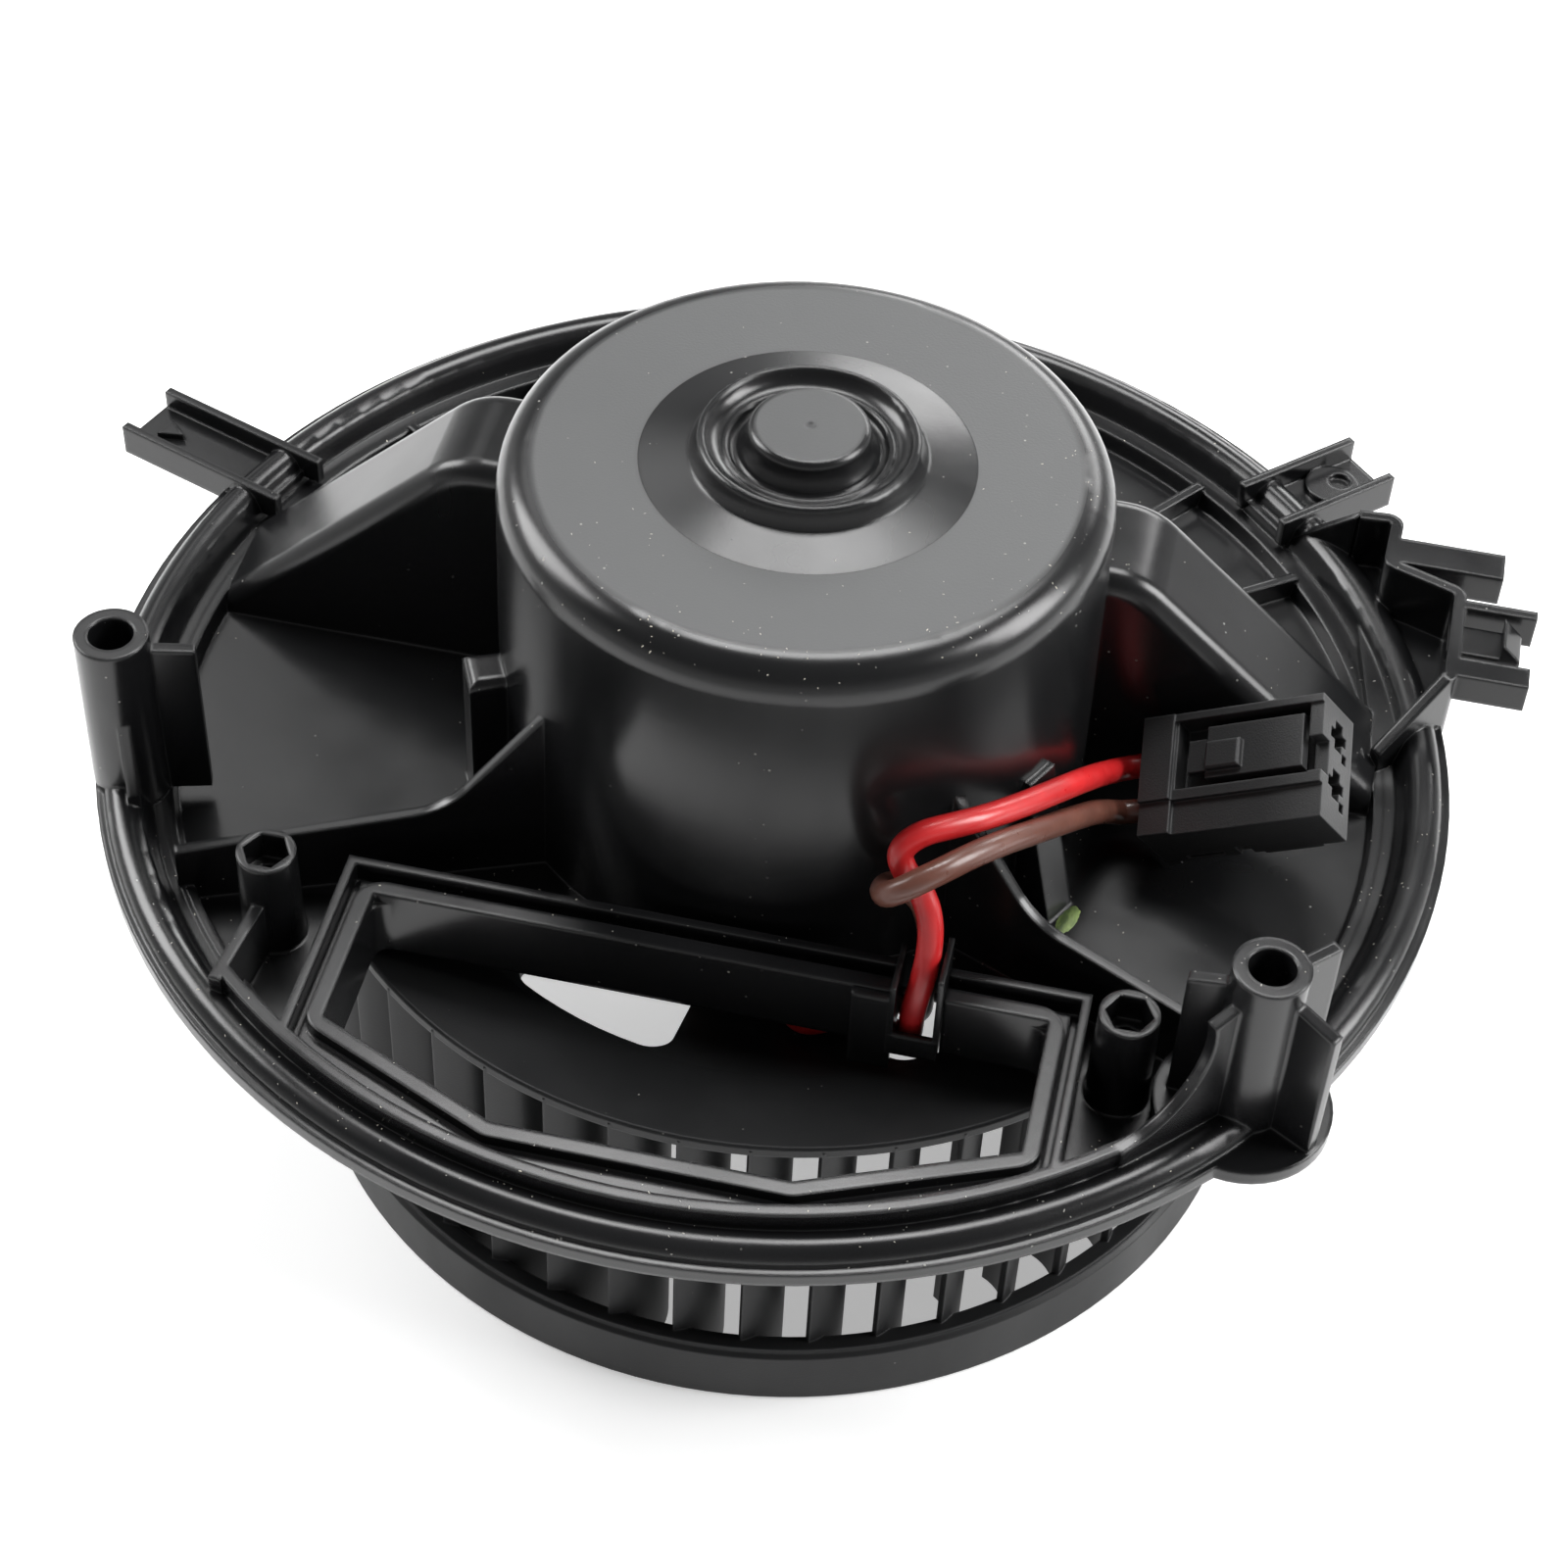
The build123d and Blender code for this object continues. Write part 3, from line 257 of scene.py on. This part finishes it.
def housing_plastic():
    """The carrier's plastic: polished walls, a matt grained top with a finer ring in it."""
    dark = (0.0052, 0.0054, 0.0058)
    s = Shader("housing_black", dark, 0.25)
    s.soften(0.0008)
    x, y, z = s.position()
    dx = s.math("SUBTRACT", x, motor_x * MM)
    reach = s.math("SQRT", s.math("ADD", s.math("MULTIPLY", dx, dx), s.math("MULTIPLY", y, y)), 0.0)
    high = s.step(z, grain_height, 0.3)
    band = s.math("MULTIPLY", s.step(reach, cone_foot + 0.05, 0.1), high)
    band = s.math("MULTIPLY", band, s.step(reach, grain_radius, 0.6, 1.0, 0.0))
    cone = s.math("MULTIPLY", s.step(reach, crest_radius, 0.3, 0.0, 0.10), high)
    cone = s.math("MULTIPLY", cone, s.step(reach, cone_foot, 0.1, 1.0, 0.0))
    centre = s.math("MULTIPLY", s.step(reach, button_radius, 0.3, 0.80, 0.0), high)
    matt = s.math("MAXIMUM", s.math("MAXIMUM", band, centre), cone)
    cloud = s.ramp(s.noise(18.0, 4.0), 0.34, 0.68, 0.0, 1.0)
    base = s.mix(cloud, dark, (0.0085, 0.0087, 0.0092))
    base = s.mix(matt, base, (0.060, 0.061, 0.062))
    # Painted highlight with some wear: sharp edges are mixed towards pale grey, like light caught on
    # rounded edges.
    edge_wear_and_highlight = s.math("MULTIPLY", s.edges(0.0003), 0.10)
    base = s.mix(edge_wear_and_highlight, base, (0.15, 0.15, 0.155))
    specks = s.specks(420.0, (0.085, 0.055), 70.0, 0.54, 0.55)
    base = s.mix(specks, base, (0.40, 0.39, 0.36))
    s.color(base)
    level = s.ramp(s.noise(45.0, 3.0, (1.0, 1.0, 0.3)), 0.3, 0.7, 0.17, 0.28)
    level = s.math("ADD", level, s.math("MULTIPLY", matt, 0.24))
    level = s.math("ADD", level, s.math("MULTIPLY", specks, 0.4))
    s.roughness(level)
    s.bump(s.noise(150.0, 2.0), 0.0004, 0.05)
    s.bump(s.math("MULTIPLY", s.noise(2600.0, 2.0), s.ramp(matt, 0.0, 1.0, 0.12, 1.0)), 0.00005, 0.5)
    return s


def lead_plastic(name, color, deep):
    """Soft PVC insulation with a sheen and small scuffs."""
    s = Shader(name, color, 0.34)
    tone = s.ramp(s.noise(120.0, 4.0), 0.35, 0.7, 0.0, 1.0)
    s.color(s.mix(tone, color, deep))
    s.roughness(s.ramp(s.noise(420.0, 3.0), 0.3, 0.7, 0.27, 0.44))
    s.bump(s.noise(330.0, 3.0), 0.0003, 0.16)
    s.bump(s.noise(2400.0, 2.0), 0.00005, 0.25)
    s.bsdf.inputs["Coat Weight"].default_value = 0.22
    s.bsdf.inputs["Coat Roughness"].default_value = 0.22
    s.bsdf.inputs["Subsurface Weight"].default_value = 0.06
    s.bsdf.inputs["Subsurface Radius"].default_value = (0.0015, 0.0005, 0.0004)
    return s


def metal(name, color, deep, smooth, rough, stretch=(1, 1, 1), edge=0.4):
    """Metal with brushed or cast variation and edges painted brighter as a highlight."""
    s = Shader(name, color, smooth, 1.0)
    s.soften(0.0002)
    lines = s.noise(900.0, 3.0, stretch)
    base = s.mix(s.ramp(s.noise(60.0, 4.0), 0.3, 0.7, 0.0, 1.0), color, deep)
    # Painted highlight: sharp edges take a lighter copy of the metal's colour, like light caught on
    # rounded edges.
    painted_edge_highlight = tuple(min(1.0, c * 1.5) for c in color)
    base = s.mix(s.math("MULTIPLY", s.edges(0.0003), edge), base, painted_edge_highlight)
    s.color(base)
    s.roughness(s.ramp(lines, 0.3, 0.7, smooth, rough))
    s.bump(lines, 0.00004, 0.35)
    return s


def dull(name, color, deep, smooth, rough, grain=900.0):
    """Dull non-metal with a coarse grain: ferrite, carbon and rubber."""
    s = Shader(name, color, smooth)
    s.soften(0.0002)
    s.color(s.mix(s.ramp(s.noise(200.0, 4.0), 0.3, 0.7, 0.0, 1.0), color, deep))
    s.roughness(s.ramp(s.noise(grain, 3.0), 0.3, 0.7, smooth, rough))
    s.bump(s.noise(grain, 3.0), 0.00008, 0.5)
    return s


materials = {
    "housing_black": housing_plastic(),
    "wheel_black": moulding("wheel_black", (0.0075, 0.0077, 0.0081), (0.014, 0.0142, 0.0148),
                            0.36, 0.52, 0.35, dust=0.35, shine=0.27),
    "connector_black": moulding("connector_black", (0.010, 0.0102, 0.0106), (0.017, 0.0172, 0.0178),
                                0.46, 0.62, 0.8, edge=0.3),
    "lead_red": lead_plastic("lead_red", (0.62, 0.020, 0.022), (0.46, 0.012, 0.014)),
    "lead_brown": lead_plastic("lead_brown", (0.150, 0.058, 0.040), (0.105, 0.040, 0.028)),
    "zinc_steel": metal("zinc_steel", (0.46, 0.47, 0.48), (0.33, 0.34, 0.36), 0.28, 0.45),
    "bright_steel": metal("bright_steel", (0.62, 0.62, 0.62), (0.48, 0.48, 0.50), 0.16, 0.30,
                          (0.2, 0.2, 4.0)),
    "spring_steel": metal("spring_steel", (0.26, 0.27, 0.30), (0.16, 0.16, 0.18), 0.24, 0.38),
    "lamination": metal("lamination", (0.22, 0.22, 0.23), (0.12, 0.12, 0.12), 0.36, 0.6,
                        (0.1, 0.1, 5.0)),
    "copper": metal("copper", (0.62, 0.27, 0.12), (0.42, 0.16, 0.07), 0.22, 0.4),
    "bronze": metal("bronze", (0.48, 0.31, 0.14), (0.34, 0.21, 0.09), 0.38, 0.6),
    "tin_bronze": metal("tin_bronze", (0.60, 0.57, 0.50), (0.50, 0.47, 0.41), 0.24, 0.4),
    "ferrite": dull("ferrite", (0.035, 0.035, 0.037), (0.02, 0.02, 0.021), 0.5, 0.8),
    "carbon": dull("carbon", (0.02, 0.02, 0.021), (0.012, 0.012, 0.012), 0.4, 0.6),
    "rubber_black": dull("rubber_black", (0.016, 0.016, 0.016), (0.024, 0.024, 0.023), 0.62, 0.85),
    "brush_plastic": moulding("brush_plastic", (0.02, 0.02, 0.02), (0.03, 0.03, 0.03),
                              0.45, 0.6, 0.4),
}
slot_of = {row["node"]: row["material_slot"] for row in frame["record"]["subparts"]}


def paint(obj, name):
    """Give a piece one material and the slot it belongs to."""
    obj.data.materials.clear()
    obj.data.materials.append(materials[name].material)


for node_name, node in nodes.items():
    paint(node, slot_of[node_name])


# ---------------------------------------------------------------- leads
red_points = [
    (11.0, -36.2, -12.0), (11.0, -41.4, -12.0), (14.0, -45.6, -11.4), (19.6, -45.4, -7.9),
    (25.2, -45.4, -7.4), (29.9, -49.0, -6.6), (30.1, -50.0, 2.2), (31.4, -48.6, 10.4),
    (31.0, -45.8, 16.4), (28.6, -43.6, 20.2), (26.6, -44.2, 22.8), (25.2, -43.6, 26.2),
    (27.6, -41.6, 28.2), (31.8, -38.8, 28.0), (35.6, -35.4, 27.0), (40.4, -28.4, 23.8),
    (46.6, -17.2, 18.4), (49.4, -5.2, 8.6), (53.315, 1.007, 4.697),
    (60.901, 0.171, 9.089),
]
brown_points = [
    (-2.0, -36.2, -11.8), (-2.0, -41.4, -11.8), (3.6, -44.6, -11.4), (10.4, -41.6, -7.7),
    (19.0, -40.2, -7.4), (26.4, -39.8, -7.4), (30.6, -44.2, -6.4), (30.6, -45.7, 2.8),
    (31.2, -43.8, 10.6), (28.8, -40.8, 15.2), (24.4, -41.0, 17.0), (23.7, -45.4, 20.0),
    (25.2, -49.9, 24.0), (30.6, -47.6, 27.2), (36.6, -40.0, 26.0), (42.8, -29.8, 20.6),
    (48.4, -16.0, 11.0), (50.4, -9.4, 5.2), (53.975, -6.043, 2.222), (61.561, -6.879, 6.614),
]


def add_lead(name, points):
    """One lead as a smooth spline of its real length and thickness."""
    curve = bpy.data.curves.new(name, "CURVE")
    curve.dimensions = "3D"
    curve.bevel_depth = 1.8 * MM
    curve.bevel_resolution = 8
    curve.use_fill_caps = True
    spline = curve.splines.new("NURBS")
    spline.points.add(len(points) - 1)
    for target, point in zip(spline.points, points):
        target.co = (*(Vector(point) * MM), 1.0)
    spline.order_u = 3
    spline.use_endpoint_u = True
    spline.resolution_u = 16
    obj = bpy.data.objects.new(name, curve)
    scene.collection.objects.link(obj)
    obj.data.materials.append(materials[name.replace("_insulation", "")].material)
    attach(obj, "housing")
    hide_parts(name.replace("_insulation", ""))
    return obj


add_lead("lead_red_insulation", red_points)
add_lead("lead_brown_insulation", brown_points)


# ---------------------------------------------------------------- small details
def add_lint():
    """Dust grains lying on the rim, the dome's wall and the flange floor."""
    rng = random.Random(7)
    grains = 520
    tries = 1500
    mesh = bmesh.new()
    depsgraph = bpy.context.evaluated_depsgraph_get()
    casing = nodes["flange_housing"].evaluated_get(depsgraph)
    placed = 0
    for _ in range(tries):
        angle = rng.uniform(-150, 20) if rng.random() < 0.75 else rng.uniform(0, 360)
        reach = rng.choice((rng.uniform(88, 99), rng.uniform(20, 99), rng.uniform(38, 50)))
        x = reach * math.cos(math.radians(angle)) * MM
        y = reach * math.sin(math.radians(angle)) * MM
        hit, spot, normal, _ = casing.ray_cast(Vector((x, y, 0.2)), Vector((0, 0, -1)))
        if not hit or normal.z < 0.3:
            continue
        size = rng.uniform(0.035, 0.10) * MM
        turn = normal.to_track_quat("Z", "Y").to_matrix().to_4x4()
        spin = Matrix.Rotation(rng.uniform(0, 6.28), 4, "Z")
        shape = Matrix.Diagonal((size * rng.uniform(1, 3.2), size, size * 0.5, 1))
        bmesh.ops.create_icosphere(mesh, subdivisions=1, radius=1.0,
                                   matrix=Matrix.Translation(spot) @ turn @ spin @ shape)
        placed += 1
        if placed == grains:
            break
    data = bpy.data.meshes.new("lint")
    mesh.to_mesh(data)
    mesh.free()
    obj = bpy.data.objects.new("lint", data)
    scene.collection.objects.link(obj)
    s = Shader("lint", (0.42, 0.40, 0.36), 0.9)
    s.color(s.mix(s.ramp(s.noise(90.0, 1.0), 0.4, 0.6, 0.0, 1.0), (0.30, 0.29, 0.27), (0.50, 0.47, 0.40)))
    data.materials.append(s.material)
    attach(obj, "housing")
    return obj


add_lint()


def add_paint_mark():
    """Inspector's dab of green paint on the flange floor, beside the right pillar's foot."""
    rng = random.Random(3)
    mesh = bmesh.new()
    bmesh.ops.create_circle(mesh, cap_ends=False, radius=1.0, segments=40)
    rim = list(mesh.verts)
    for vert in rim:
        wobble = 1.0 + rng.uniform(-0.07, 0.07)
        vert.co = Vector((vert.co.x * 1.25 * wobble, vert.co.y * 3.1 * wobble, 0.0))
    centre = mesh.verts.new((0, 0, 0.16))
    middle = [mesh.verts.new((v.co.x * 0.8, v.co.y * 0.8, 0.13)) for v in rim]
    for index, vert in enumerate(rim):
        after = (index + 1) % len(rim)
        mesh.faces.new((vert, rim[after], middle[after], middle[index]))
        mesh.faces.new((middle[index], middle[after], centre))
    turn = Matrix.Rotation(math.radians(-18), 4, "Z")
    place = Matrix.Translation(Vector((48.2, -24.6, -2.5)) * MM)
    mesh.transform(place @ turn @ Matrix.Scale(MM, 4))
    data = bpy.data.meshes.new("paint_mark")
    mesh.to_mesh(data)
    mesh.free()
    for polygon in data.polygons:
        polygon.use_smooth = True
    obj = bpy.data.objects.new("paint_mark", data)
    scene.collection.objects.link(obj)
    s = Shader("paint_green", (0.20, 0.28, 0.07), 0.4)
    streaks = s.ramp(s.noise(700.0, 4.0, (1.0, 0.3, 1.0)), 0.40, 0.62, 0.0, 1.0)
    s.color(s.mix(streaks, (0.24, 0.33, 0.09), (0.055, 0.085, 0.025)))
    s.roughness(s.ramp(s.noise(900.0, 2.0), 0.3, 0.7, 0.3, 0.55))
    s.bump(s.noise(900.0, 3.0), 0.0001, 0.5)
    data.materials.append(s.material)
    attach(obj, "housing")


add_paint_mark()


# ---------------------------------------------------------------- floor and light
def add_floor():
    """Pale floor under the inlet ring."""
    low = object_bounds()[0].z
    mesh = bmesh.new()
    bmesh.ops.create_grid(mesh, x_segments=2, y_segments=2, size=6.0,
                          matrix=Matrix.Translation((0, 0, low)))
    data = bpy.data.meshes.new("floor")
    mesh.to_mesh(data)
    mesh.free()
    obj = bpy.data.objects.new("floor", data)
    scene.collection.objects.link(obj)
    s = Shader("floor_white", (0.86, 0.86, 0.86), 0.9)
    s.bsdf.inputs["Specular IOR Level"].default_value = 0.1
    s.bsdf.inputs["Emission Color"].default_value = (1.0, 1.0, 1.0, 1.0)
    s.bsdf.inputs["Emission Strength"].default_value = 0.42
    data.materials.append(s.material)


def add_light(name, spot, size, power, stretch):
    """Soft rectangular light aimed at the object's origin."""
    data = bpy.data.lights.new(name, "AREA")
    data.shape = "RECTANGLE"
    data.size = size
    data.size_y = size * stretch
    data.energy = power
    obj = bpy.data.objects.new(name, data)
    scene.collection.objects.link(obj)
    obj.location = spot
    obj.rotation_mode = "QUATERNION"
    obj.rotation_quaternion = (-Vector(spot)).to_track_quat("-Z", "Y")


add_floor()
add_light("overhead", (0.0, 0.52, 1.14), 0.70, 10.5, 0.6)
add_light("left_box", (-0.95, 0.25, 0.75), 0.55, 13.0, 1.3)
add_light("right_box", (1.0, 0.15, 0.70), 0.55, 16.0, 1.3)
add_light("back_box", (0.25, 1.15, 0.55), 0.9, 7.0, 0.35)
add_light("left_rear_box", (-0.66, 0.86, 1.0), 0.4, 1.0, 1.0)


def add_world():
    """Pale near the horizon and dim overhead, so that level glossy faces stay dark."""
    world = bpy.data.worlds.new("studio")
    world.use_nodes = True
    tree = world.node_tree
    background = tree.nodes["Background"]
    background.inputs["Color"].default_value = (1.0, 1.0, 1.0, 1.0)
    place = tree.nodes.new("ShaderNodeTexCoord")
    split = tree.nodes.new("ShaderNodeSeparateXYZ")
    fade = tree.nodes.new("ShaderNodeMapRange")
    fade.inputs["From Min"].default_value = 0.10
    fade.inputs["From Max"].default_value = 0.50
    fade.inputs["To Min"].default_value = 0.72
    fade.inputs["To Max"].default_value = 0.16
    tree.links.new(place.outputs["Generated"], split.inputs["Vector"])
    tree.links.new(split.outputs["Z"], fade.inputs["Value"])
    tree.links.new(fade.outputs["Result"], background.inputs["Strength"])
    scene.world = world


add_world()
scene.view_settings.view_transform = "Standard"
